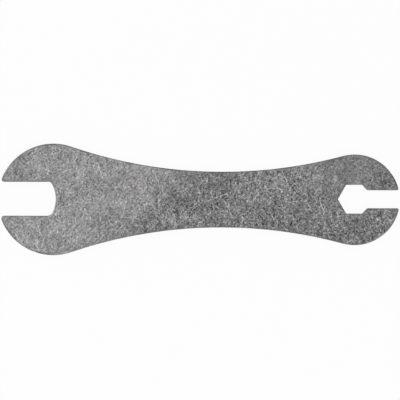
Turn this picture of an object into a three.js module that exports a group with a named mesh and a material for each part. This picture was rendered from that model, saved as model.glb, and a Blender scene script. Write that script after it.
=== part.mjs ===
// A flat double-ended spanner, blanked in one stroke from steel plate. Lengths are millimetres.
//
// X runs along the spanner from the open jaw to the hexagon jaw, Y runs across it to the left, and
// Z runs up through the plate. The origin lies under the middle of the length, on the lower face.

import * as THREE from "three";

// Driving dimensions
const PLATE_THICKNESS = 3;
const EDGE_ROUND = 0.25; // rounding that blanking and tumbling leave along every edge
const HEAD_SPACING = 115.5; // between the centres of the two round heads
const JAW_HEAD_RADIUS = 21.4;
const HEX_HEAD_RADIUS = 17.4;
const WAIST_WIDTH = 21.4; // the shank where it is narrowest
const JAW_GAP = 13; // between the flats of the open jaw
const JAW_OVERRUN = 0.9; // how far the floor of the open jaw lies past the centre of its head
const JAW_FLOOR_SAG = 2; // how far the floor of the open jaw bows from its corners to its middle
const LEFT_CORNER_RADIUS = 1.1; // where the floor of the open jaw meets its left flat
const RIGHT_CORNER_RADIUS = 2.6; // and its right flat
const HEX_ACROSS_FLATS = 11;
const MOUTH_WIDTH = 6.9; // the way into the hexagon jaw
const MOUTH_FLAT_SLOPE = 48; // degrees that the flats beside the mouth lean, less than a nut's own 60
const MOUTH_CORNER_RADIUS = 0.4; // where the mouth meets the hexagon
const JAW_TIP_RADIUS = 1; // the outer corners of the open jaw
const HEX_TIP_RADIUS = 0.6; // and of the hexagon jaw
const JAW_OFFSET = 0.22; // how far both openings lie to the left of the middle of the plate
const CHORD_ERROR = 0.01; // the most that a straight facet may leave the arc it stands for

const STEEL_COLOR = 0x868686;
const STEEL_ROUGHNESS = 0.45;
const STEEL_METALNESS = 1;
const EDGE_STEPS = 3; // facets across the rounding of an edge

const halfGap = JAW_GAP / 2;
const halfMouth = MOUTH_WIDTH / 2;
const halfWaist = WAIST_WIDTH / 2;

// Where the tip of a jaw is rounded: how far along X the centre of that rounding lies from the
// centre of the head, so that it touches both the head's rim and the jaw's flat.
function tipReach(headRadius, tipRadius, halfOpening) {
  return Math.sqrt((headRadius - tipRadius) ** 2 - (halfOpening + tipRadius) ** 2);
}

// The heads lie on the X axis, placed so that the origin is halfway between the jaws' longest tips.
// Those are on the side that the openings lie away from.
const jawTipReach = tipReach(JAW_HEAD_RADIUS, JAW_TIP_RADIUS, halfGap - Math.abs(JAW_OFFSET));
const hexTipReach = tipReach(HEX_HEAD_RADIUS, HEX_TIP_RADIUS, halfMouth - Math.abs(JAW_OFFSET));
const length = JAW_TIP_RADIUS + jawTipReach + HEAD_SPACING + hexTipReach + HEX_TIP_RADIUS;
const jawHead = new THREE.Vector2(-length / 2 + JAW_TIP_RADIUS + jawTipReach, 0);
const hexHead = new THREE.Vector2(jawHead.x + HEAD_SPACING, 0);

// Each side of the shank is one arc that passes through the waist and touches both heads. Where
// it lies follows from how far each head stands out past the waist.
const jawRise = JAW_HEAD_RADIUS - halfWaist;
const hexRise = HEX_HEAD_RADIUS - halfWaist;
const riseStep = jawRise - hexRise;
const waistRoot = Math.sqrt(jawRise * hexRise * (HEAD_SPACING ** 2 - riseStep ** 2));
const waistOffset =
  (jawRise * (HEAD_SPACING ** 2 + hexRise * riseStep)) / (jawRise * HEAD_SPACING + waistRoot);
const waistRadius = (waistOffset ** 2 / jawRise - jawRise - WAIST_WIDTH) / 2;
const waistCenter = new THREE.Vector2(jawHead.x + waistOffset, halfWaist + waistRadius);

// Points along an arc, close enough together to keep within the chord error. The arc runs
// clockwise where its second angle is the smaller one.
function arcPoints(center, radius, fromAngle, toAngle) {
  const stepAngle = 2 * Math.acos(1 - CHORD_ERROR / radius);
  const steps = Math.ceil(Math.abs(toAngle - fromAngle) / stepAngle);
  const clockwise = toAngle < fromAngle;
  const arc = new THREE.EllipseCurve(center.x, center.y, radius, radius, fromAngle, toAngle, clockwise);
  return arc.getPoints(steps);
}

// The direction from one point to another, as an angle
function angleTo(from, to) {
  return Math.atan2(to.y - from.y, to.x - from.x);
}

const UP = Math.PI / 2;
const DOWN = -Math.PI / 2;
const FULL_TURN = 2 * Math.PI;

// The hexagon is centred in its head, with one corner towards the shank. The two flats beside the
// mouth lean away from the nut and end where the mouth begins, at a small rounded corner.
function hexagonJaw(axis) {
  const cornerRadius = HEX_ACROSS_FLATS / Math.sqrt(3);
  const flatHeight = axis + HEX_ACROSS_FLATS / 2;
  const rearCorner = new THREE.Vector2(hexHead.x - cornerRadius, axis);
  const flatStart = new THREE.Vector2(hexHead.x - cornerRadius / 2, flatHeight);
  const flatEnd = new THREE.Vector2(hexHead.x + cornerRadius / 2, flatHeight);

  const flatSlope = THREE.MathUtils.degToRad(MOUTH_FLAT_SLOPE);
  const mouthHeight = axis + halfMouth;
  const mouthStart = flatEnd.x + (flatHeight - mouthHeight) / Math.tan(flatSlope);
  const rounding = new THREE.Vector2(
    mouthStart + MOUTH_CORNER_RADIUS * Math.tan(flatSlope / 2),
    mouthHeight + MOUTH_CORNER_RADIUS,
  );
  return [
    rearCorner,
    flatStart,
    flatEnd,
    ...arcPoints(rounding, MOUTH_CORNER_RADIUS, DOWN - flatSlope, DOWN),
  ];
}

// The outer rim from the hexagon jaw's tip, round its head, along the shank and round the other
// head to the open jaw's tip
function outerRim(axis) {
  const hexTip = new THREE.Vector2(
    hexHead.x + tipReach(HEX_HEAD_RADIUS, HEX_TIP_RADIUS, axis + halfMouth),
    axis + halfMouth + HEX_TIP_RADIUS,
  );
  const jawTip = new THREE.Vector2(
    jawHead.x - tipReach(JAW_HEAD_RADIUS, JAW_TIP_RADIUS, axis + halfGap),
    axis + halfGap + JAW_TIP_RADIUS,
  );
  const hexTipAngle = angleTo(hexHead, hexTip);
  const jawTipAngle = angleTo(jawHead, jawTip);
  const hexFlank = angleTo(hexHead, waistCenter);
  const jawFlank = angleTo(jawHead, waistCenter);
  return [
    ...arcPoints(hexTip, HEX_TIP_RADIUS, DOWN, hexTipAngle),
    ...arcPoints(hexHead, HEX_HEAD_RADIUS, hexTipAngle, hexFlank),
    ...arcPoints(waistCenter, waistRadius, hexFlank - Math.PI, jawFlank - Math.PI),
    ...arcPoints(jawHead, JAW_HEAD_RADIUS, jawFlank, jawTipAngle),
    ...arcPoints(jawTip, JAW_TIP_RADIUS, jawTipAngle, DOWN + FULL_TURN),
  ];
}

// The open jaw from the end of its flat, round the corner and along the bowed floor to its middle
function openJaw(axis, cornerRadius) {
  const floorRadius = (halfGap ** 2 + JAW_FLOOR_SAG ** 2) / (2 * JAW_FLOOR_SAG);
  const floorCenter = new THREE.Vector2(jawHead.x + JAW_OVERRUN - floorRadius, axis);
  const cornerRise = halfGap - cornerRadius;
  const cornerReach = Math.sqrt((floorRadius - cornerRadius) ** 2 - cornerRise ** 2);
  const corner = new THREE.Vector2(floorCenter.x + cornerReach, axis + cornerRise);
  const cornerAngle = angleTo(floorCenter, corner);
  return [
    ...arcPoints(corner, cornerRadius, UP, cornerAngle),
    ...arcPoints(floorCenter, floorRadius, cornerAngle, 0),
  ];
}

// One side of the outline, drawn upwards from the X axis, from the hexagon's rear corner to the
// middle of the open jaw's floor. The openings have their own axis, at a given height. Arcs that
// meet share a point, which is kept once.
function outlineSide(axis, cornerRadius) {
  const drawn = [...hexagonJaw(axis), ...outerRim(axis), ...openJaw(axis, cornerRadius)];
  return drawn.filter((point, i) => i === 0 || point.distanceTo(drawn[i - 1]) > CHORD_ERROR);
}

// The right side is drawn like the left one and then mirrored. Its first and last points are
// already there.
function plateOutline() {
  const left = outlineSide(JAW_OFFSET, LEFT_CORNER_RADIUS);
  const right = outlineSide(-JAW_OFFSET, RIGHT_CORNER_RADIUS)
    .slice(1, -1)
    .reverse()
    .map((point) => new THREE.Vector2(point.x, -point.y));
  return new THREE.Shape([...left, ...right]);
}

function spannerPlate() {
  const geometry = new THREE.ExtrudeGeometry(plateOutline(), {
    depth: PLATE_THICKNESS - 2 * EDGE_ROUND,
    bevelThickness: EDGE_ROUND,
    bevelSize: EDGE_ROUND,
    bevelOffset: -EDGE_ROUND,
    bevelSegments: EDGE_STEPS,
  });
  const steel = new THREE.MeshStandardMaterial({
    color: STEEL_COLOR,
    roughness: STEEL_ROUGHNESS,
    metalness: STEEL_METALNESS,
  });
  const plate = new THREE.Mesh(geometry, steel);
  plate.name = "spanner_plate";
  plate.position.z = EDGE_ROUND;
  return plate;
}

const spanner = new THREE.Group();
spanner.add(spannerPlate());

export default spanner;
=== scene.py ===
# %% [markdown]
# # A flat plate spanner
#
# The real tool is a single piece. A press blanks it from 3 mm steel plate in one stroke, with both
# jaws in its outline, and a tumbling barrel then dulls the faces and takes the sharpness off the
# edges. So there is one thing to model, and all of the work goes into its edges and its surface.
#
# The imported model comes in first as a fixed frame. Nothing in it is moved. The lesson measures it,
# builds a finer plate in the same place, and lets that stand for it. Blender works in metres here.
# Lengths on the plate are worked out in millimetres, and turned into metres where Blender takes
# them.

# %% Load the fixed frame
import math
import random

import bpy
import numpy as np
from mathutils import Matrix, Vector, geometry, kdtree, noise


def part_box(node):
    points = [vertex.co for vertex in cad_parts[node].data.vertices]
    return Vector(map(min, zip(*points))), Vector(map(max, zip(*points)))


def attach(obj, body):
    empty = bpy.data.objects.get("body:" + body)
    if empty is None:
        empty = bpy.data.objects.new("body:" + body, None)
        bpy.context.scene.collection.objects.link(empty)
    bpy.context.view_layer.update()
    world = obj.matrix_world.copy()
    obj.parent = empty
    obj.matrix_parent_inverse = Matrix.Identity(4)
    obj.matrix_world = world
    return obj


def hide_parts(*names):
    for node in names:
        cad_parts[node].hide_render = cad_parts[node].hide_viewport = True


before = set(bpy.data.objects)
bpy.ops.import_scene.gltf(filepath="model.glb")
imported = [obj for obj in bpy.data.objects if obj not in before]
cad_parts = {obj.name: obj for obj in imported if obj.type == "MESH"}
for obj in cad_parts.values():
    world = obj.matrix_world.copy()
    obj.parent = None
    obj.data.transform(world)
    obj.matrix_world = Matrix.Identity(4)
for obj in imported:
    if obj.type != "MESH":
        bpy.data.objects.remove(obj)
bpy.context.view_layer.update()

MM = 0.001
NODE = "spanner_plate"
low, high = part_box(NODE)
length = (high[0] - low[0]) / MM
width = (high[1] - low[1]) / MM
thickness = (high[2] - low[2]) / MM
print(f"plate {length:.1f} x {width:.1f} x {thickness:.1f} mm")

# %% [markdown]
# ## The camera
#
# The spanner was photographed from straight above, nearly as long as the picture is wide. A camera
# that points down needs no turning, because an unturned Blender camera looks along -Z with +Y up.
# What is left to settle is its height. A long lens from further away shows a plate as flat as the
# picture does, and the height follows from how many pixels the spanner is long. The picture is a
# little off centre and a little turned, and the camera takes both.

# %% Place the camera over the plate
PICTURE_PX = 400
SPANNER_PX = 397.85
CENTRE_PX = (199.9, 199.6)
PICTURE_TURN = 0.0014
LENS = 100
SENSOR = 36

mm_per_px = length / SPANNER_PX
picture_mm = PICTURE_PX * mm_per_px
camera_height = picture_mm * LENS / SENSOR
off_x = (PICTURE_PX / 2 - CENTRE_PX[0]) * mm_per_px
off_y = (CENTRE_PX[1] - PICTURE_PX / 2) * mm_per_px

camera_data = bpy.data.cameras.new("picture_camera")
camera_data.lens = LENS
camera_data.sensor_width = SENSOR
camera = bpy.data.objects.new("picture_camera", camera_data)
camera.location = Vector((off_x, off_y, thickness + camera_height)) * MM
camera.rotation_euler = (0, 0, PICTURE_TURN)
bpy.context.scene.collection.objects.link(camera)
bpy.context.scene.camera = camera
print(f"camera {camera_height:.0f} mm above the upper face, {mm_per_px:.4f} mm to a pixel")

# %% [markdown]
# ## The outline
#
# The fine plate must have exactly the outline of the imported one, so the outline is read from that
# solid and not drawn again. The solid's wall stands upright between two levels, and the corner
# points along its upper end make one closed ring. Sharing a face tells which of them are
# neighbours.

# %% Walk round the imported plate's wall
CORNER_DIGITS = 4


def wall_ring(mesh):
    """The corners of the outline in millimetres, anticlockwise, from the top of the upright wall."""
    corners = [tuple(round(c / MM, CORNER_DIGITS) for c in vertex.co) for vertex in mesh.vertices]
    levels = sorted({corner[2] for corner in corners})
    gaps = zip(levels, levels[1:])
    wall_top = max(gaps, key=lambda gap: gap[1] - gap[0])[1]
    beside = {}
    for polygon in mesh.polygons:
        on_ring = {corners[i] for i in polygon.vertices if corners[i][2] == wall_top}
        if len(on_ring) == 2:
            for corner in on_ring:
                beside.setdefault(corner, set()).update(on_ring - {corner})
    ring = [min(beside)]
    came_from = None
    while True:
        onward = [corner for corner in beside[ring[-1]] if corner != came_from][0]
        if onward == ring[0]:
            break
        came_from = ring[-1]
        ring.append(onward)
    points = np.array(ring)[:, :2]
    ahead = np.roll(points, -1, axis=0)
    area = (points[:, 0] * ahead[:, 1] - ahead[:, 0] * points[:, 1]).sum() / 2
    return points if area > 0 else points[::-1]


ring = wall_ring(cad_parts[NODE].data)
print(f"the outline has {len(ring)} corners")

# %% [markdown]
# That ring is made of short straight facets, which would show as flats along a polished edge. Each
# facet stands for a piece of an arc, and the arc can be worked out again: where two facets of equal
# length meet, the turn between them is the arc's own turn over one facet. A facet with a joint at
# both ends is truly straight, such as the flat of a jaw. The hexagon's corners turn too sharply to
# be part of any arc.

# %% Find the arcs behind the facets
SAME_ARC = 0.02
SHARP_TURN = math.radians(40)


def turns(heading):
    """How far the outline turns at the start of each facet, to the left if above 0."""
    return (heading - np.roll(heading, 1) + math.pi) % (2 * math.pi) - math.pi


def facet_bends(size, heading):
    """How far the arc behind each facet turns from end to end, 0 for a facet that is straight."""
    size_before = np.roll(size, 1)
    turn = turns(heading)
    joint = np.abs(size - size_before) > SAME_ARC * np.maximum(size, size_before)
    joint |= np.abs(turn) > SHARP_TURN
    end_bend = np.where(np.roll(joint, -1), 0.0, np.roll(turn, -1))
    return np.where(joint, end_bend, turn)


facet = np.roll(ring, -1, axis=0) - ring
facet_size = np.linalg.norm(facet, axis=1)
facet_heading = np.arctan2(facet[:, 1], facet[:, 0])
facet_bend = facet_bends(facet_size, facet_heading)
print(f"{np.count_nonzero(facet_bend)} of {len(ring)} facets belong to arcs")

# %% [markdown]
# With the arcs known, the outline is sampled again at an even, close spacing. Every point also gets
# its way out, the direction that leads straight out of the steel. At a sharp corner that is longer,
# so that an outline drawn further in keeps its corner.

# %% Follow the arcs
OUTLINE_STEP = 0.35


def way_out(heading):
    """The direction to the right of a heading, which leads out of an anticlockwise outline."""
    return np.array((math.sin(heading), -math.cos(heading)))


def smooth_outline():
    """Points along the true arcs, and the way out of the steel at each of them."""
    points = []
    ways = []
    for i, start in enumerate(ring):
        size, heading, bend = facet_size[i], facet_heading[i], facet_bend[i]
        first_heading = heading - bend / 2
        steps = math.ceil(size / OUTLINE_STEP)
        for k in range(steps):
            now = first_heading + bend * k / steps
            if bend:
                radius = size / (2 * math.sin(bend / 2))
                points.append(start + radius * (way_out(now) - way_out(first_heading)))
            else:
                points.append(start + facet[i] * k / steps)
            arriving = now if k else facet_heading[i - 1] + facet_bend[i - 1] / 2
            both = way_out(now) + way_out(arriving)
            ways.append(both / (1 + way_out(now) @ way_out(arriving)))
    return np.array(points), np.array(ways)


outline, outward = smooth_outline()
around = np.linalg.norm(np.roll(outline, -1, axis=0) - outline, axis=1)
along = np.concatenate(([0.0], np.cumsum(around)[:-1]))
perimeter = around.sum()
print(f"{len(outline)} points along {perimeter:.1f} mm of edge")

# %% [markdown]
# ## The blanked edge
#
# A blanking press leaves its mark on the wall. Where the die pulls the plate in, the upper edge
# rolls over. Below that comes a bright band that the punch has rubbed smooth, and the rest breaks
# away as a rough, slightly leaning fracture. Tumbling breaks the sharp lower edge. A bevel modifier
# could round both edges, but only alike, so the wall is built as a stack of rings instead. Each
# ring has an inset from the outline and a depth below the upper face.
#
# The width of the roll comes first. A tight outward corner has no room for all of it: there it
# takes a share of the corner's radius, and widens again evenly on both sides.

# %% Measure how wide the upper edge rolls over
ROLL_WIDTH = 0.6
CORNER_SHARE = 0.7
NARROWING = 0.3
STRAIGHT = 1e-6


def gap_along(places):
    """How far places along the edge are apart, the shorter way round."""
    apart = np.abs(places)
    return np.minimum(apart, perimeter - apart)


def roll_widths():
    """How wide the edge rolls over at each point of the outline."""
    onward = np.roll(outline, -1, axis=0) - outline
    turn = turns(np.arctan2(onward[:, 1], onward[:, 0]))
    step = (around + np.roll(around, 1)) / 2
    room = CORNER_SHARE * step / np.maximum(turn, STRAIGHT)
    apart = gap_along(along[:, None] - along[None, :])
    return np.minimum(ROLL_WIDTH, (room[None, :] + NARROWING * apart).min(axis=1))


rolls = roll_widths()
print(f"the upper edge rolls over by {rolls.min():.2f} to {rolls.max():.2f} mm")

# %% [markdown]
# The roll itself is a quarter of an ellipse. It begins a little below the upper face, because the
# steel beside it was drawn down too.

# %% Roll the upper edge over
ROLL_DEPTH = 0.32
ROLL_STEPS = 8
SAG_DEPTH = 0.03


def rolled_rows(roll_width):
    """Insets and depths from the upper face over the roll."""
    rows = []
    for i in range(ROLL_STEPS + 1):
        angle = math.pi / 2 * i / ROLL_STEPS
        sunk = ROLL_DEPTH * (1 - math.cos(angle)) + SAG_DEPTH * math.cos(angle)
        rows.append((roll_width * (1 - math.sin(angle)), sunk))
    return rows


print(f"the roll is {ROLL_DEPTH} mm deep and has {ROLL_STEPS} steps")

# %% [markdown]
# The smooth band runs straight down from there. Where it ends and how far the break stands in
# wander along the edge, as on a real blank. The wandering is a noise that is read round a circle,
# so it comes back to where it began and leaves no seam.

# %% Shear the wall
BAND_END = 1.15
BAND_WANDER = 0.22
BAND_WAVE = 4.0
BAND_WAVE_SEED = 1
BAND_RIPPLE = 0.9
BAND_RIPPLE_SEED = 2
BAND_RIPPLE_SHARE = 0.5
BAND_ROWS = 3
BREAK_STEP = 0.02
BREAK_LEAN = 0.07
BREAK_ROUGHNESS = 0.03
BREAK_GRAIN = 0.7
BREAK_SEED = 10
BREAK_ROWS = 6
LOWER_ROUND = 0.14

break_end = thickness - LOWER_ROUND


def wander(distance, scale, seed):
    """A smooth value between about -1 and 1 that changes along the edge and closes on itself."""
    angle = 2 * math.pi * distance / perimeter
    radius = perimeter / (2 * math.pi * scale)
    return noise.noise(Vector((radius * math.cos(angle), radius * math.sin(angle), seed)))


def sheared_rows(distance):
    """Insets and depths down the smooth band and the break, at a distance along the edge."""
    waves = wander(distance, BAND_WAVE, BAND_WAVE_SEED)
    waves += BAND_RIPPLE_SHARE * wander(distance, BAND_RIPPLE, BAND_RIPPLE_SEED)
    band_end = BAND_END + BAND_WANDER * waves
    rows = []
    for i in range(1, BAND_ROWS + 1):
        rows.append((0.0, ROLL_DEPTH + (band_end - ROLL_DEPTH) * i / BAND_ROWS))
    for i in range(1, BREAK_ROWS + 1):
        share = i / BREAK_ROWS
        rough = wander(distance, BREAK_GRAIN, BREAK_SEED + i) * math.sin(math.pi * share)
        inset = BREAK_STEP + BREAK_LEAN * share + BREAK_ROUGHNESS * rough
        rows.append((inset, band_end + (break_end - band_end) * share))
    return rows


print(f"the smooth band ends about {BAND_END} mm down, the break {break_end:.2f} mm down")

# %% [markdown]
# The break ends where the small rounding of the lower edge begins. With that, one profile runs down
# the wall at every point of the outline, and the points of the same row in all profiles make a
# ring.

# %% Round the lower edge and stack the rings
LOWER_STEPS = 3


def lower_rows():
    """Insets and depths round the lower edge to the lower face."""
    rows = []
    for i in range(1, LOWER_STEPS + 1):
        angle = math.pi / 2 * i / LOWER_STEPS
        inset = BREAK_STEP + BREAK_LEAN + LOWER_ROUND * (1 - math.cos(angle))
        rows.append((inset, break_end + LOWER_ROUND * math.sin(angle)))
    return rows


def edge_profile(distance, roll_width):
    """Insets and depths in millimetres, from the upper face down the wall to the lower face."""
    return rolled_rows(roll_width) + sheared_rows(distance) + lower_rows()


profiles = np.array([edge_profile(*place) for place in zip(along, rolls)])
print(f"{profiles.shape[1]} rings, deepest inset {profiles[:, :, 0].max():.2f} mm")

# %% [markdown]
# Loose parts knock against each other in the barrel, and a few of those knocks leave nicks along
# the upper edge. Each nick pushes the rolled rings in, and half as far down, over a short stretch,
# strongest in its middle.

# %% Knock a few nicks into the upper edge
NICKS = 26
NICK_DEPTH = (0.03, 0.10)
NICK_REACH = (0.25, 0.7)
NICK_SINK = 0.5
NICK_SEED = 11

draw = random.Random(NICK_SEED)
for _ in range(NICKS):
    middle = draw.uniform(0, perimeter)
    depth = draw.uniform(*NICK_DEPTH)
    reach = draw.uniform(*NICK_REACH)
    knock = depth * np.exp(-((gap_along(along - middle) / reach) ** 2))
    for row in range(1, ROLL_STEPS + 2):
        fade = 1 - abs(row - ROLL_STEPS + 1) / (ROLL_STEPS + 1)
        profiles[:, row, 0] += knock * fade
        profiles[:, row, 1] += knock * fade * NICK_SINK
print(f"{NICKS} nicks up to {NICK_DEPTH[1]} mm deep")

# %% [markdown]
# ## The two faces
#
# A face could be one large polygon, but then it could not carry any shape of its own. Real plate
# is never quite flat: it keeps a faint wave from rolling, it sinks a little towards the sheared
# edge, and it is full of shallow dents. So each face is filled with points that can sink, inside
# the ring where the wall meets it. Two helpers tell which points lie inside a ring and how far from
# it. The second one asks a k-d tree, which finds the nearest of many points quickly.

# %% Tell which points lie inside a ring
def inside(points, loop):
    """Which points lie inside a loop: an odd number of its sides crosses a line to the right."""
    crossings = np.zeros(len(points), int)
    for (ax, ay), (bx, by) in zip(loop, np.roll(loop, -1, axis=0)):
        spans = (ay > points[:, 1]) != (by > points[:, 1])
        if ay != by:
            reached = ax + (points[:, 1] - ay) * (bx - ax) / (by - ay)
            crossings += spans & (points[:, 0] < reached)
    return crossings % 2 == 1


def distances(points, loop):
    """How far each point lies from the nearest point of a loop."""
    tree = kdtree.KDTree(len(loop))
    for i, (x, y) in enumerate(loop):
        tree.insert((x, y, 0), i)
    tree.balance()
    return np.array([tree.find((x, y, 0))[2] for x, y in points])


upper_loop = outline - outward * profiles[:, :1, 0]
lower_loop = outline - outward * profiles[:, -1:, 0]
print(f"the upper face ends {distances(upper_loop, outline).max():.2f} mm inside the outline")

# %% [markdown]
# The points lie on a triangular grid, a little uneven so that no row shows. Those too close to the
# ring are left out, because they would make slivers of triangles with it.

# %% Lay a grid inside each face
FACE_STEP = 0.46
RIM_CLEARANCE = 0.3
GRID_JITTER = 0.12
UPPER_SEED = 3
LOWER_SEED = 4


def face_grid(loop, seed):
    """Points of a slightly uneven triangular grid that lie well inside a loop."""
    scatter = np.random.default_rng(seed)
    rows = []
    row_step = FACE_STEP * math.sqrt(3) / 2
    for i, y in enumerate(np.arange(-width / 2, width / 2, row_step)):
        x = np.arange(-length / 2, length / 2, FACE_STEP) + (i % 2) * FACE_STEP / 2
        rows.append(np.column_stack((x, np.full(len(x), y))))
    grid = np.concatenate(rows)
    grid += scatter.uniform(-GRID_JITTER, GRID_JITTER, grid.shape)
    grid = grid[inside(grid, loop)]
    return grid[distances(grid, loop) > RIM_CLEARANCE]


upper_grid = face_grid(upper_loop, UPPER_SEED)
lower_grid = face_grid(lower_loop, LOWER_SEED)
print(f"{len(upper_grid)} and {len(lower_grid)} points inside the two faces")

# %% [markdown]
# A constrained Delaunay triangulation joins the grid to the ring. It makes the fattest triangles
# that it can, and it keeps every side of the ring, so the face ends exactly where the wall begins.

# %% Fill the faces with triangles
FILL_INSIDE = 1
SAME_POINT = 1e-6


def fill(loop, grid):
    """Triangles over a loop and the points inside it. The loop's points are numbered first."""
    points = [Vector(point) for point in np.concatenate((loop, grid))]
    border = list(range(len(loop)))
    made = geometry.delaunay_2d_cdt(points, [], [border], FILL_INSIDE, SAME_POINT)
    _, _, triangles, sources, _, _ = made
    return [[sources[i][0] for i in triangle] for triangle in triangles]


upper_triangles = fill(upper_loop, upper_grid)
lower_triangles = fill(lower_loop, lower_grid)
print(f"{len(upper_triangles)} and {len(lower_triangles)} triangles on the two faces")

# %% [markdown]
# The points of the faces are still level. Each now sinks by its own amount: by the sag next to the
# sheared edge, by a wave and a finer ripple further in, and by shallow dents in random places. How
# far a point lies from the outline says where the sag gives way to the waves.

# %% Sink and dent the faces
SAG_REACH = 0.9
WAVE_SIZE = 17
WAVE_DEPTH = 0.018
RIPPLE_SIZE = 1.7
RIPPLE_DEPTH = 0.004
DENTS = 130
DENT_RADIUS = (0.5, 1.5)
DENT_DEPTH = (0.006, 0.028)
UPPER_DENTS_SEED = 21
LOWER_DENTS_SEED = 22


def face_depths(grid, to_edge, seed, sag):
    """How far each grid point lies below its flat face, in millimetres."""
    depths = []
    for (x, y), distance in zip(grid, to_edge):
        fade = 1 - math.exp(-max(0, distance - ROLL_WIDTH) / SAG_REACH)
        wave = noise.noise(Vector((x / WAVE_SIZE, y / WAVE_SIZE, seed)))
        ripple = noise.noise(Vector((x / RIPPLE_SIZE, y / RIPPLE_SIZE, seed)))
        wavy = WAVE_DEPTH * (1 + wave) + RIPPLE_DEPTH * (1 + ripple)
        depths.append(sag * (1 - fade) + wavy * fade)
    depths = np.array(depths)
    knocks = random.Random(seed)
    for _ in range(DENTS):
        x, y = grid[knocks.randrange(len(grid))]
        radius = knocks.uniform(*DENT_RADIUS)
        depth = knocks.uniform(*DENT_DEPTH)
        reach = np.hypot(grid[:, 0] - x, grid[:, 1] - y) / radius
        depths += depth * np.exp(-(reach**2))
    return depths


upper_to_edge = distances(upper_grid, outline)
lower_to_edge = distances(lower_grid, outline)
upper_depths = face_depths(upper_grid, upper_to_edge, UPPER_DENTS_SEED, SAG_DEPTH)
lower_depths = face_depths(lower_grid, lower_to_edge, LOWER_DENTS_SEED, 0.0)
print(f"upper face sinks up to {upper_depths.max():.3f} mm, lower face {lower_depths.max():.3f} mm")

# %% [markdown]
# ## The plate as one mesh
#
# Rings, wall and faces now become one closed mesh. The rings' points come first, ring by ring, so
# a quad of the wall joins four numbers that are easy to work out. The two grids follow them.

# %% Number the points
count = len(outline)
rows = profiles.shape[1]
vertices = []
for row in range(rows):
    places = outline - outward * profiles[:, row : row + 1, 0]
    heights = thickness - profiles[:, row, 1]
    vertices.append(np.column_stack((places, heights)))
upper_start = rows * count
lower_start = upper_start + len(upper_grid)
vertices.append(np.column_stack((upper_grid, thickness - upper_depths)))
vertices.append(np.column_stack((lower_grid, lower_depths)))
vertices = np.concatenate(vertices)
print(f"{rows} rings of {count} points, {len(vertices)} points in all")

# %% [markdown]
# Blender takes a face as a list of the numbers of its points, and the side from which they run
# anticlockwise is its outside. The lower face looks down, so its triangles are turned round.

# %% Join the points into faces
faces = []
for row in range(rows - 1):
    for i in range(count):
        onward = (i + 1) % count
        upper, lower = row * count, (row + 1) * count
        faces.append((upper + i, lower + i, lower + onward, upper + onward))
wall_faces = len(faces)
for triangle in upper_triangles:
    faces.append([i if i < count else upper_start + i - count for i in triangle])
upper_end = len(faces)
last_ring = (rows - 1) * count
for triangle in lower_triangles:
    joined = [last_ring + i if i < count else lower_start + i - count for i in triangle]
    faces.append(joined[::-1])
print(f"{wall_faces} quads round the edge and {len(faces) - wall_faces} triangles")

# %% [markdown]
# Everything is shaded smooth, and only edges that turn sharply, at the hexagon's corners, are
# marked to stay crisp. The new plate rides on the frame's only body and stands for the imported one.

# %% Make the plate
CRISP_EDGE = math.radians(38)

plate_mesh = bpy.data.meshes.new("spanner")
plate_mesh.from_pydata((vertices * MM).tolist(), [], faces)
plate_mesh.shade_smooth()
plate_mesh.set_sharp_from_angle(angle=CRISP_EDGE)
plate = bpy.data.objects.new("spanner", plate_mesh)
bpy.context.scene.collection.objects.link(plate)
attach(plate, "root")
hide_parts(NODE)
print(f"{len(plate_mesh.vertices)} points, {len(plate_mesh.polygons)} faces")

# %% [markdown]
# The barrel rubs an edge harder than a face, so the rim is smoother and its marks are fainter. The
# finish has to know where the rim is. Every point of the mesh can carry a number of its own, an
# attribute, and this one falls from 1 at the edge to 0 a little way inside it.

# %% Tell the finish where the rim is
RIM_START = 0.25
RIM_END = 0.95

to_edge = np.concatenate((profiles[:, :, 0].T.ravel(), upper_to_edge, lower_to_edge))
nearness = np.clip((RIM_END - to_edge) / (RIM_END - RIM_START), 0, 1)
rim = plate_mesh.attributes.new("rim", "FLOAT", "POINT")
rim.data.foreach_set("value", nearness)
print(f"{(nearness > 0).sum()} points belong to the rim")

# %% [markdown]
# ## A flat pattern in millimetres
#
# The steel's marks are a fraction of a millimetre wide, so the finish needs a map that keeps true
# size. The two faces lie flat in it as they are, with the rounded edges round them, so that the
# grain runs on over the edge without a seam. The upright wall is unrolled into strips. A step in
# the map is about as long anywhere on the steel, so a mark that is laid out in millimetres has its
# real size on every side of the plate.

# %% Unroll the wall
MAP_MM = 157.0
MAP_MARGIN = 2.0
STRIPS = 3
STRIP_GAP = 6.0

strip_length = perimeter / STRIPS
profile_step = np.hypot(np.diff(profiles[:, :, 0], axis=1), np.diff(profiles[:, :, 1], axis=1))
down_wall = np.concatenate((np.zeros((count, 1)), np.cumsum(profile_step, axis=1)), axis=1)
wall_height = down_wall.max()


def on_wall(row):
    """Whether a row of faces belongs to the upright wall, and not to a rounded edge."""
    return ROLL_STEPS <= row < rows - 1 - LOWER_STEPS


def wall_place(column, row, strip):
    """Where a point of the unrolled wall lies in the map."""
    distance = along[column % count] + perimeter * (column // count)
    foot = MAP_MARGIN + strip * (wall_height + STRIP_GAP)
    x = MAP_MARGIN + distance - strip * strip_length
    y = foot + wall_height - down_wall[column % count, row]
    return x, y


print(f"{STRIPS} strips of wall, {strip_length:.0f} x {wall_height:.1f} mm")

# %% [markdown]
# A map belongs to the corners of faces and not to points, so one point may lie in two places of it,
# and the wall can be cut from the faces. The upper face goes to the top of the map, the lower one
# below it, mirrored because it looks down, and the strips to the foot. Blender's maps run from 0 to
# 1, so the millimetres are divided by the size of the whole map.

# %% Lay out the map
upper_middle = MAP_MM - MAP_MARGIN - width / 2
lower_middle = upper_middle - width - 2 * MAP_MARGIN

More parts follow.
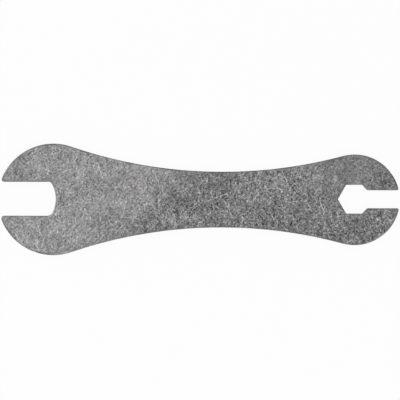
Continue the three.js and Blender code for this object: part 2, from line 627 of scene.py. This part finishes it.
places = np.zeros((len(plate_mesh.loops), 2))
for number, polygon in enumerate(plate_mesh.polygons):
    row, i = divmod(number, count)
    if number < wall_faces and on_wall(row):
        strip = min(int(along[i] / strip_length), STRIPS - 1)
        corners = ((i, row), (i, row + 1), (i + 1, row + 1), (i + 1, row))
        for loop, (column, ring_row) in zip(polygon.loop_indices, corners):
            places[loop] = wall_place(column, ring_row, strip)
    else:
        upper = row < ROLL_STEPS or wall_faces <= number < upper_end
        middle, side = (upper_middle, 1) if upper else (lower_middle, -1)
        for loop, vertex in zip(polygon.loop_indices, polygon.vertices):
            x, y, _ = vertices[vertex]
            places[loop] = (MAP_MM / 2 + x, middle + side * y)
pattern = plate_mesh.uv_layers.new(name="OFBake")
pattern.uv.foreach_set("vector", (places / MAP_MM).ravel())
print(f"map {places.min(axis=0)} to {places.max(axis=0)} mm")

# %% [markdown]
# ## Building blocks for the finish
#
# Both finishes of this plate, the tumbled faces and the sheared wall, share their marks, so the
# marks are made once as node groups. Small helpers keep the node code readable. The first adds a
# node, sets its options, and fills each input with a value or a link, and the others build on it.

# %% Helpers for nodes
def add(tree, kind, inputs=None, **options):
    """Adds a node to a tree. An input is given by name or number, as a value or another socket."""
    node = tree.nodes.new(kind)
    for name, value in options.items():
        setattr(node, name, value)
    for name, value in (inputs or {}).items():
        if isinstance(value, bpy.types.NodeSocket):
            tree.links.new(value, node.inputs[name])
        else:
            node.inputs[name].default_value = value
    return node


def maths(tree, operation, *values):
    """The result of a Math node."""
    return add(tree, "ShaderNodeMath", dict(enumerate(values)), operation=operation).outputs[0]


def vector_maths(tree, operation, first, second):
    """The result of a Vector Math node with two vectors."""
    return add(tree, "ShaderNodeVectorMath", {0: first, 1: second}, operation=operation).outputs[0]


def scaled(tree, vector, factor):
    """A vector or colour times a number."""
    inputs = {0: vector, "Scale": factor}
    return add(tree, "ShaderNodeVectorMath", inputs, operation="SCALE").outputs[0]


def remap(tree, value, start, end, to_start, to_end):
    """A value eased from one range into another, and held at its ends."""
    ranges = {"From Min": start, "From Max": end, "To Min": to_start, "To Max": to_end}
    inputs = {"Value": value, **ranges}
    return add(tree, "ShaderNodeMapRange", inputs, interpolation_type="SMOOTHSTEP").outputs[0]


# %% [markdown]
# A node group is a tree of its own. Its named sockets are all that a material sees of it, and a
# value or link that is given to a socket takes the place of the group's usual value.

# %% Helpers for node groups
NUMBER = "NodeSocketFloat"
PLACE = "NodeSocketVector"


def new_group(name, inputs, outputs):
    """An empty shader node group with named sockets, and its input and output nodes' sockets."""
    group = bpy.data.node_groups.new(name, "ShaderNodeTree")
    for socket, (kind, value) in inputs.items():
        made = group.interface.new_socket(socket, in_out="INPUT", socket_type=kind)
        if value is not None:
            made.default_value = value
    for socket in outputs:
        group.interface.new_socket(socket, in_out="OUTPUT", socket_type=NUMBER)
    entry = group.nodes.new("NodeGroupInput")
    leave = group.nodes.new("NodeGroupOutput")
    return group, entry.outputs, leave.inputs


def place_group(tree, group, inputs):
    """A group placed in a tree with its own values."""
    return add(tree, "ShaderNodeGroup", inputs, node_tree=group).outputs


# %% [markdown]
# ### Tumbling marks
#
# The stones in the barrel leave short marks that lie in every direction. A noise texture has no
# direction at all, and a stretched one has only one. So each mark is drawn: a Voronoi texture
# deals the surface into cells, and gives every cell a middle and a random colour. A second one
# tells how far the border of the cell is.

# %% Deal the surface into cells
CELL_SCATTER = 0.8

marks, entry, leave = new_group(
    "Tumbling marks",
    {
        "Place": (PLACE, None),
        "Spacing": (NUMBER, 1.0),
        "Half Length": (NUMBER, 0.6),
        "Half Width": (NUMBER, 0.12),
        "Bend": (NUMBER, 0.3),
        "Seed": (NUMBER, 0.0),
    },
    ["Mark", "Tone"],
)
shift = add(marks, "ShaderNodeCombineXYZ", {"X": entry["Seed"], "Y": entry["Seed"]}).outputs[0]
moved = vector_maths(marks, "ADD", entry["Place"], shift)
closeness = maths(marks, "DIVIDE", 1.0, entry["Spacing"])
layout = {"Vector": moved, "Scale": closeness, "Randomness": CELL_SCATTER}
cells = add(marks, "ShaderNodeTexVoronoi", layout, voronoi_dimensions="2D").outputs
borders = {"feature": "DISTANCE_TO_EDGE", "voronoi_dimensions": "2D"}
to_border = add(marks, "ShaderNodeTexVoronoi", layout, **borders).outputs["Distance"]
chance = add(marks, "ShaderNodeSeparateColor", {"Color": cells["Color"]}).outputs
print(f"{marks.name}: {len(marks.nodes)} nodes for the cells")

# %% [markdown]
# The colour of a cell says how a short line through its middle is turned, how long it is and how
# bright. The line is a little bowed. It fades before the border of its cell, so that no mark looks
# cut off there.

# %% Draw a bowed line in each cell
BORDER_FADE = 0.12
SHORTEST = 0.4
FULL_LENGTH = 0.5
FULL_WIDTH = 0.2

from_middle = vector_maths(marks, "SUBTRACT", moved, cells["Position"])
turn = maths(marks, "MULTIPLY", chance["Red"], 2 * math.pi)
turned = {"Vector": from_middle, "Angle": turn}
turned = add(marks, "ShaderNodeVectorRotate", turned, rotation_type="Z_AXIS").outputs[0]
line_x, line_y, _ = add(marks, "ShaderNodeSeparateXYZ", {0: turned}).outputs
share = maths(marks, "ADD", chance["Blue"], SHORTEST)
half_length = maths(marks, "MULTIPLY", entry["Half Length"], share)
lengthwise = maths(marks, "DIVIDE", maths(marks, "ABSOLUTE", line_x), half_length)
bow = maths(marks, "MULTIPLY", maths(marks, "MULTIPLY", lengthwise, lengthwise), entry["Bend"])
crosswise = maths(marks, "ABSOLUTE", maths(marks, "SUBTRACT", line_y, bow))
crosswise = maths(marks, "DIVIDE", crosswise, entry["Half Width"])
ends = remap(marks, lengthwise, FULL_LENGTH, 1.0, 1.0, 0.0)
sides = remap(marks, crosswise, FULL_WIDTH, 1.0, 1.0, 0.0)
within = remap(marks, to_border, 0.0, BORDER_FADE, 0.0, 1.0)
mark = maths(marks, "MULTIPLY", maths(marks, "MULTIPLY", ends, sides), within)
marks.links.new(mark, leave["Mark"])
marks.links.new(chance["Green"], leave["Tone"])
print(f"{marks.name}: {len(marks.nodes)} nodes in all")

# %% [markdown]
# ### The tumbled grain
#
# Seen from a step away, thousands of such marks run together into a grain. It starts from a fine
# noise, which is cut at a slant through its three dimensions, so that none of its rows line up with
# the plate. A noise has a middle of a half. That is taken off, so the grain is about 0 on average,
# and a material turns it into a tone with as much contrast as it needs.

# %% Begin the grain with a fine noise
NOISE_SLANT = (0.6, 0.4, 0.7)
NOISE_DETAIL = 1.0
NOISE_MIDDLE = 0.5

grain, entry, leave = new_group(
    "Tumbled grain",
    {
        "Place": (PLACE, None),
        "Noise Size": (NUMBER, 0.5),
        "Noise Share": (NUMBER, 1.0),
        "Mark Share": (NUMBER, 1.0),
    },
    ["Grain", "Depth"],
)
slanted = {"Vector": entry["Place"], "Rotation": NOISE_SLANT}
slanted = add(grain, "ShaderNodeVectorRotate", slanted, rotation_type="EULER_XYZ").outputs[0]
fineness = maths(grain, "DIVIDE", 1.0, entry["Noise Size"])
speckle = {"Vector": slanted, "Scale": fineness, "Detail": NOISE_DETAIL}
speckle = add(grain, "ShaderNodeTexNoise", speckle).outputs[0]
speckle = maths(grain, "SUBTRACT", speckle, NOISE_MIDDLE)
total = maths(grain, "MULTIPLY", speckle, entry["Noise Share"])
print(f"{grain.name}: {len(grain.nodes)} nodes for the noise")

# %% [markdown]
# A layer of cells holds only one mark to a cell, so the group lays many layers of short marks over
# each other, and two of long scratches that stand out more. A mark with a tone above the middle is
# bright, and any other is dark.
#
# The noise and the first layers also leave the group on their own, as a depth. A bump node works
# its height out three times over, and Cycles has no room for all of the layers three times.

# %% Lay the marks over it
SHORT_LAYERS = 9
SHORT_MARK = {"Spacing": 1.9, "Half Length": 1.0, "Half Width": 0.26, "Bend": 0.2}
LONG_LAYERS = 2
LONG_MARK = {"Spacing": 9.0, "Half Length": 3.6, "Half Width": 0.17, "Bend": 0.2}
LONG_STRENGTH = 1.7
TONE_MIDDLE = 0.5
DEEP_LAYERS = 4
SEED_STEP = 31.7

short_share = entry["Mark Share"]
long_share = maths(grain, "MULTIPLY", short_share, LONG_STRENGTH)
layers = [(SHORT_MARK, short_share)] * SHORT_LAYERS + [(LONG_MARK, long_share)] * LONG_LAYERS
for number, (mark, share) in enumerate(layers):
    own = {"Place": entry["Place"], "Seed": SEED_STEP * number, **mark}
    layer = place_group(grain, marks, own)
    bright = maths(grain, "SUBTRACT", layer["Tone"], TONE_MIDDLE)
    signed = maths(grain, "MULTIPLY", layer["Mark"], bright)
    total = maths(grain, "ADD", total, maths(grain, "MULTIPLY", signed, share))
    if number + 1 == DEEP_LAYERS:
        grain.links.new(total, leave["Depth"])
grain.links.new(total, leave["Grain"])
print(f"{grain.name}: {len(layers)} layers of marks, {len(grain.nodes)} nodes in all")

# %% [markdown]
# ## Bare steel
#
# Both finishes are bare steel, dull and mid grey, with a warm cast in patches so faint that it
# hardly shows. A metal has no colour but that of its reflections, so the shader is fully metallic
# and its base colour is that grey. What the two share is written once: the new material, the place
# on the flat pattern in millimetres, and the grey that a tone lightens or darkens.

# %% Helpers for both finishes
STEEL_GREY = (0.24, 0.24, 0.24, 1)
WARM_GREY = (0.246, 0.24, 0.241, 1)
WARM_PATCHES = {"Scale": 0.05, "Detail": 4.0}
WARM_RANGE = (0.42, 0.62)


def new_material(name):
    """A material with one Principled shader of bare metal."""
    material = bpy.data.materials.new(name)
    material.use_nodes = True
    tree = material.node_tree
    shader = tree.nodes["Principled BSDF"]
    shader.inputs["Metallic"].default_value = 1.0
    return material, tree, shader


def steel_place(tree):
    """The place on the steel in millimetres, from the flat pattern."""
    where = add(tree, "ShaderNodeUVMap", uv_map="OFBake").outputs[0]
    return scaled(tree, where, MAP_MM)


def toned(tree, tone, place):
    """The steel's grey with a faint warm cast in patches, lightened or darkened by a tone."""
    patches = add(tree, "ShaderNodeTexNoise", {"Vector": place, **WARM_PATCHES}).outputs[0]
    warmth = remap(tree, patches, *WARM_RANGE, 0.0, 1.0)
    # a Mix node's inputs 6 and 7 are its two colours, and its output 2 is what they make
    colours = {0: warmth, 6: STEEL_GREY, 7: WARM_GREY}
    grey = add(tree, "ShaderNodeMix", colours, data_type="RGBA").outputs[2]
    return scaled(tree, grey, tone)


# %% [markdown]
# ## The tumbled faces
#
# Towards the open jaw the plate is paler, and from the waist to the other end it is darker. This is
# partly painted light: the brighter lamp light at the open-jaw end is put into the colour. It is
# partly wear, since the barrel has not worked the faces alike. A slanting line with a wandering edge
# divides the two. It could be painted on by hand, but a few numbers say as much and fit any size of
# picture: the way along the plate, pushed to and fro by soft clouds, is eased from a pale level to a
# dark one.

# %% A pale part and a dark part
CLOUD_NOISE = {"Scale": 0.07, "Detail": 5.0, "Roughness": 0.65}
LIT_AND_RUBBED_LINE = -18.0
LIT_AND_RUBBED_SLANT = 1.1
LIT_AND_RUBBED_BLEND = 15.0
LIT_AND_RUBBED_WANDER = 22.0
PALE = 1.18
DARK = 0.893

face_steel, tree, shader = new_material("tumbled_faces")
place = steel_place(tree)
cloud = add(tree, "ShaderNodeTexNoise", {"Vector": place, **CLOUD_NOISE}).outputs[0]
cloud = maths(tree, "SUBTRACT", cloud, NOISE_MIDDLE)
body = add(tree, "ShaderNodeTexCoord").outputs["Object"]
body_x, body_y, _ = add(tree, "ShaderNodeSeparateXYZ", {0: body}).outputs
across = maths(tree, "SUBTRACT", body_x, maths(tree, "MULTIPLY", body_y, LIT_AND_RUBBED_SLANT))
across = maths(tree, "DIVIDE", across, MM)
across = maths(tree, "ADD", across, maths(tree, "MULTIPLY", cloud, LIT_AND_RUBBED_WANDER))
# painted light and wear: the pale level stands partly for brighter lamp light at the open-jaw end
dark_share = remap(tree, across, LIT_AND_RUBBED_LINE - LIT_AND_RUBBED_BLEND, LIT_AND_RUBBED_LINE + LIT_AND_RUBBED_BLEND, 0.0, 1.0)
level = remap(tree, dark_share, 0.0, 1.0, PALE, DARK)
print(f"the dark part is {DARK / PALE:.0%} as bright as the pale one")

# %% [markdown]
# ### Spots and stains
#
# Beside the hexagon one spot is worn smooth again, and paler ones lie next to it and at the floor
# of the open jaw. Four faint stains darken the steel: at the waist, at a tip of the open jaw,
# further behind that jaw and below the hexagon. Each is a place and a reach in millimetres, which
# make a mask that is 1 in the middle and eases to 0.

# %% Spots that lift or lower the level
SPOT_CORE = 0.4
WORN_SPOT = (57, 15, 23)
WORN_PALENESS = 0.09
RUBBED_SPOT = (36, 12, 16)
RUBBED_PALENESS = 0.17
BARE_SPOT = (-50, 2, 11)
BARE_PALENESS = 0.09
WAIST_STAIN = (4, 4, 14)
WAIST_DARKNESS = 0.1
TIP_STAIN = (-71, 11, 11)
TIP_DARKNESS = 0.1
HEEL_STAIN = (-39, 0, 12)
HEEL_DARKNESS = 0.07
HEXAGON_STAIN = (59, -13, 9)
HEXAGON_DARKNESS = 0.08


def spot(tree, body, x, y, reach):
    """A mask that is 1 around a place on the steel and eases to 0 at its reach, in millimetres."""
    apart = {0: body, 1: (x * MM, y * MM, 0)}
    away = add(tree, "ShaderNodeVectorMath", apart, operation="DISTANCE").outputs["Value"]
    return remap(tree, away, SPOT_CORE * reach * MM, reach * MM, 1.0, 0.0)


worn = spot(tree, body, *WORN_SPOT)
spots = [
    (worn, WORN_PALENESS),
    (spot(tree, body, *RUBBED_SPOT), RUBBED_PALENESS),
    (spot(tree, body, *BARE_SPOT), BARE_PALENESS),
    (spot(tree, body, *WAIST_STAIN), -WAIST_DARKNESS),
    (spot(tree, body, *TIP_STAIN), -TIP_DARKNESS),
    (spot(tree, body, *HEEL_STAIN), -HEEL_DARKNESS),
    (spot(tree, body, *HEXAGON_STAIN), -HEXAGON_DARKNESS),
]
for mask, change in spots:
    level = maths(tree, "ADD", level, maths(tree, "MULTIPLY", mask, change))
print(f"{len(spots)} spots")

# %% [markdown]
# ### A soft and a strong grain
#
# The grain changes along the plate as well, a little further on than the tone: soft in the pale
# part, strong in the dark one, where the marks stand out. The worn spot is soft again. Along the rim
# the grain is faint. Painted shade darkens the rolled edge in patches, and painted highlights
# lighten it in others.

# %% Set the grain's contrast and paint shade and highlights on the rim
GRAIN_LINE = -12.0
WORN_SMOOTHNESS = 0.8
SOFT_GRAIN = 0.78
STRONG_GRAIN = 1.24
RIM_GRAIN = 0.35
RIM_PAINTED_SHADE_AND_HIGHLIGHT = (-0.2, 0.32)
RIM_SHADE_NOISE = {"Scale": 0.13, "Detail": 3.0}
RIM_SHADE_RANGE = (0.35, 0.65)

marked_share = remap(tree, across, GRAIN_LINE - LIT_AND_RUBBED_BLEND, GRAIN_LINE + LIT_AND_RUBBED_BLEND, 0.0, 1.0)
unworn = maths(tree, "SUBTRACT", marked_share, maths(tree, "MULTIPLY", worn, WORN_SMOOTHNESS))
contrast = remap(tree, unworn, 0.0, 1.0, SOFT_GRAIN, STRONG_GRAIN)
at_rim = add(tree, "ShaderNodeAttribute", attribute_name="rim").outputs["Fac"]
contrast = maths(tree, "MULTIPLY", contrast, remap(tree, at_rim, 0.0, 1.0, 1.0, RIM_GRAIN))
# painted shade and highlight: a noise darkens the rim in patches and lightens it in others
rim_shade = add(tree, "ShaderNodeTexNoise", {"Vector": place, **RIM_SHADE_NOISE}).outputs[0]
rim_shade = maths(tree, "MULTIPLY", at_rim, remap(tree, rim_shade, *RIM_SHADE_RANGE, *RIM_PAINTED_SHADE_AND_HIGHLIGHT))
level = maths(tree, "MULTIPLY", level, maths(tree, "SUBTRACT", 1.0, rim_shade))
print(f"the grain's contrast runs from {SOFT_GRAIN} to {STRONG_GRAIN}")

# %% [markdown]
# ### Tone, gloss and depth
#
# Grain and clouds now lighten and darken the level, and that is the tone of the steel. Where it is
# bright it is also smoother, so the same tone drives the roughness. The marks have a depth too, far
# finer than any face of the mesh, and a bump shows it.

# %% Finish the material of the faces
FACE_GRAIN = {"Noise Size": 0.55, "Noise Share": 1.6, "Mark Share": 1.2}
CLOUDS = 0.85
TONE_CURVE = 2.0
TONE_RANGE = (0.5, 1.5)
FACE_ROUGHNESS = (0.5, 0.36)
BUMP_STRENGTH = 0.5
FACE_BUMP = 0.015 * MM

texture = place_group(tree, grain, {"Place": place, **FACE_GRAIN})
relief = maths(tree, "MULTIPLY", texture["Grain"], contrast)
relief = maths(tree, "ADD", relief, maths(tree, "MULTIPLY", cloud, CLOUDS))
# this squared curve is close to 1 + relief, but gives bright marks a longer tail than dark ones
curved = maths(tree, "ADD", maths(tree, "DIVIDE", relief, TONE_CURVE), 1.0)
tone = maths(tree, "MULTIPLY", level, maths(tree, "POWER", curved, TONE_CURVE))
tree.links.new(toned(tree, tone, place), shader.inputs["Base Color"])
tree.links.new(remap(tree, tone, *TONE_RANGE, *FACE_ROUGHNESS), shader.inputs["Roughness"])
bump = {"Height": texture["Depth"], "Strength": BUMP_STRENGTH, "Distance": FACE_BUMP}
bump = add(tree, "ShaderNodeBump", bump).outputs[0]
tree.links.new(bump, shader.inputs["Normal"])
plate_mesh.materials.append(face_steel)
print(f"{face_steel.name}: {len(tree.nodes)} nodes")

# %% [markdown]
# ## The sheared wall
#
# The wall shows how it was cut. Its upper band is rubbed smooth and carries fine streaks in the
# direction of the stroke, and the fracture below is darker, rougher and grainy. How high a point
# lies tells the two apart, so the material reads the height from the object's own coordinates. A
# noise makes the line between them ragged.

# %% Tell the band from the break
BAND_EDGE_NOISE = {"Scale": 1.1}
BAND_SOFTNESS = 0.15

wall_steel, tree, shader = new_material("sheared_wall")
place = steel_place(tree)
body = add(tree, "ShaderNodeTexCoord").outputs["Object"]
height = add(tree, "ShaderNodeSeparateXYZ", {0: body}).outputs["Z"]
height = maths(tree, "DIVIDE", height, MM)
ragged = {"Vector": place, **BAND_EDGE_NOISE}
ragged = add(tree, "ShaderNodeTexNoise", ragged, noise_dimensions="2D").outputs[0]
height = maths(tree, "ADD", height, maths(tree, "SUBTRACT", ragged, NOISE_MIDDLE))
band_foot = thickness - BAND_END
band = remap(tree, height, band_foot - BAND_SOFTNESS, band_foot + BAND_SOFTNESS, 0.0, 1.0)
print(f"the smooth band ends about {band_foot:.2f} mm above the lower face")

# %% [markdown]
# The streaks are a noise that is squeezed along the edge and drawn out down the wall. The break
# takes its grain from the same group as the faces, finer and with hardly any marks. The band's mask
# mixes the two, in the tone as in the bump.

# %% Finish the material of the wall
STREAK_STRETCH = (4.0, 0.25, 1.0)
STREAK_NOISE = {"Scale": 1.2, "Detail": 3.0}
STREAK_CONTRAST = 0.9
BAND_LEVEL = 1.05
WALL_GRAIN = {"Noise Size": 0.3, "Noise Share": 1.8, "Mark Share": 0.3}
BREAK_CONTRAST = 0.8
BREAK_LEVEL = 0.82
DARKEST = 0.15
WALL_ROUGHNESS = (0.6, 0.36)
WALL_BUMP = 0.03 * MM

streaks = {"Vector": vector_maths(tree, "MULTIPLY", place, STREAK_STRETCH), **STREAK_NOISE}
streaks = add(tree, "ShaderNodeTexNoise", streaks, noise_dimensions="2D").outputs[0]
streaks = maths(tree, "SUBTRACT", streaks, NOISE_MIDDLE)
broken = place_group(tree, grain, {"Place": place, **WALL_GRAIN})["Depth"]
band_tone = maths(tree, "ADD", maths(tree, "MULTIPLY", streaks, STREAK_CONTRAST), BAND_LEVEL)
break_tone = maths(tree, "ADD", maths(tree, "MULTIPLY", broken, BREAK_CONTRAST), BREAK_LEVEL)
tone = add(tree, "ShaderNodeMix", {"Factor": band, "A": break_tone, "B": band_tone}).outputs[0]
tone = maths(tree, "MAXIMUM", tone, DARKEST)
tree.links.new(toned(tree, tone, place), shader.inputs["Base Color"])
tree.links.new(remap(tree, band, 0.0, 1.0, *WALL_ROUGHNESS), shader.inputs["Roughness"])
relief = add(tree, "ShaderNodeMix", {"Factor": band, "A": broken, "B": streaks}).outputs[0]
bump = {"Height": relief, "Strength": BUMP_STRENGTH, "Distance": WALL_BUMP}
bump = add(tree, "ShaderNodeBump", bump).outputs[0]
tree.links.new(bump, shader.inputs["Normal"])
plate_mesh.materials.append(wall_steel)
print(f"{wall_steel.name}: {len(tree.nodes)} nodes")

# %% [markdown]
# The rolled upper edge and the rounded lower one are tumbled like the faces, so only the rows of
# the upright wall take the second material.

# %% Give the wall its material
WALL_SLOT = 1

sheared = [number for number in range(wall_faces) if on_wall(number // count)]
for number in sheared:
    plate_mesh.polygons[number].material_index = WALL_SLOT
print(f"{len(sheared)} of {wall_faces} quads show the sheared steel")

# %% [markdown]
# ## A plain studio
#
# The floor is pale. Seen by the camera, or mirrored in the steel, it is nearly white, and it keeps
# a share of its own shading, so that the plate's soft shadow stays. A Light Path node tells these
# rays from those that carry light from the floor to the plate.

# %% The floor
FLOOR_SIZE = 4.0
FLOOR_GAP = 0.05 * MM
FLOOR_COLOUR = (0.95, 0.95, 0.95, 1)
WHITE = (1, 1, 1, 1)
WHITE_SHARE = 0.93

bpy.ops.mesh.primitive_plane_add(size=FLOOR_SIZE, location=(0, 0, low[2] - FLOOR_GAP))
floor = bpy.context.object
floor.name = "floor"
paper = bpy.data.materials.new("pale_paper")
paper.use_nodes = True
tree = paper.node_tree
tree.nodes.clear()
rays = add(tree, "ShaderNodeLightPath").outputs
seen = maths(tree, "MAXIMUM", rays["Is Camera Ray"], rays["Is Glossy Ray"])
seen = maths(tree, "MAXIMUM", seen, rays["Is Transmission Ray"])
seen = maths(tree, "MULTIPLY", seen, WHITE_SHARE)
matte = add(tree, "ShaderNodeBsdfDiffuse", {"Color": FLOOR_COLOUR}).outputs[0]
white = add(tree, "ShaderNodeEmission", {"Color": WHITE, "Strength": 1.0}).outputs[0]
mixed = add(tree, "ShaderNodeMixShader", {0: seen, 1: matte, 2: white}).outputs[0]
add(tree, "ShaderNodeOutputMaterial", {"Surface": mixed})
floor.data.materials.append(paper)
print(f"floor {FLOOR_SIZE:.0f} m wide")

# %% [markdown]
# Polished or dull, metal shows what is around it. A wide soft lamp hangs overhead and is what the
# faces mirror, with a weaker one beside it over the open jaw. Two more stand lower, on the near side
# and past the open jaw, and light the edges that turn their way, while edges that turn elsewhere
# show the dimmer room and draw a fine dark line round the plate.

# %% The lamps
ORIGIN = (0, 0, 0)


def soft_lamp(name, location, aim, size, power):
    """A square area lamp that faces a point. Places and size are in metres, the power in watts."""
    data = bpy.data.lights.new(name, "AREA")
    data.size = size
    data.energy = power
    lamp = bpy.data.objects.new(name, data)
    lamp.location = location
    lamp.rotation_euler = (Vector(aim) - Vector(location)).to_track_quat("-Z", "Y").to_euler()
    bpy.context.scene.collection.objects.link(lamp)
    print(f"{name}: {power} W")


soft_lamp("overhead_lamp", location=(0, 0, 1.0), aim=ORIGIN, size=1.0, power=1.5)
soft_lamp("jaw_side_lamp", location=(-0.42, 0.1, 0.95), aim=(-0.42, 0.1, 0), size=0.8, power=0.6)
soft_lamp("near_side_lamp", location=(0.36, -0.8, 0.55), aim=ORIGIN, size=1.1, power=3.2)
soft_lamp("far_jaw_lamp", location=(-0.85, 0.35, 0.5), aim=ORIGIN, size=1.1, power=3.2)

# %% [markdown]
# Around all that is a dim white room. Low down it is fully white, so that a low camera finds no
# grey horizon behind the floor. How steeply a direction rises tells the two apart.

# %% The surroundings
WHITE_RISE = 0.13
DIM_RISE = 0.28
ROOM_LIGHT = 0.46

world = bpy.data.worlds.new("studio")
world.use_nodes = True
tree = world.node_tree
direction = add(tree, "ShaderNodeTexCoord").outputs["Generated"]
rise = add(tree, "ShaderNodeSeparateXYZ", {0: direction}).outputs["Z"]
glow = remap(tree, rise, WHITE_RISE, DIM_RISE, 1.0, ROOM_LIGHT)
surroundings = tree.nodes["Background"]
surroundings.inputs["Color"].default_value = WHITE
tree.links.new(glow, surroundings.inputs["Strength"])
bpy.context.scene.world = world
bpy.context.scene.view_settings.view_transform = "Standard"
print("studio ready")
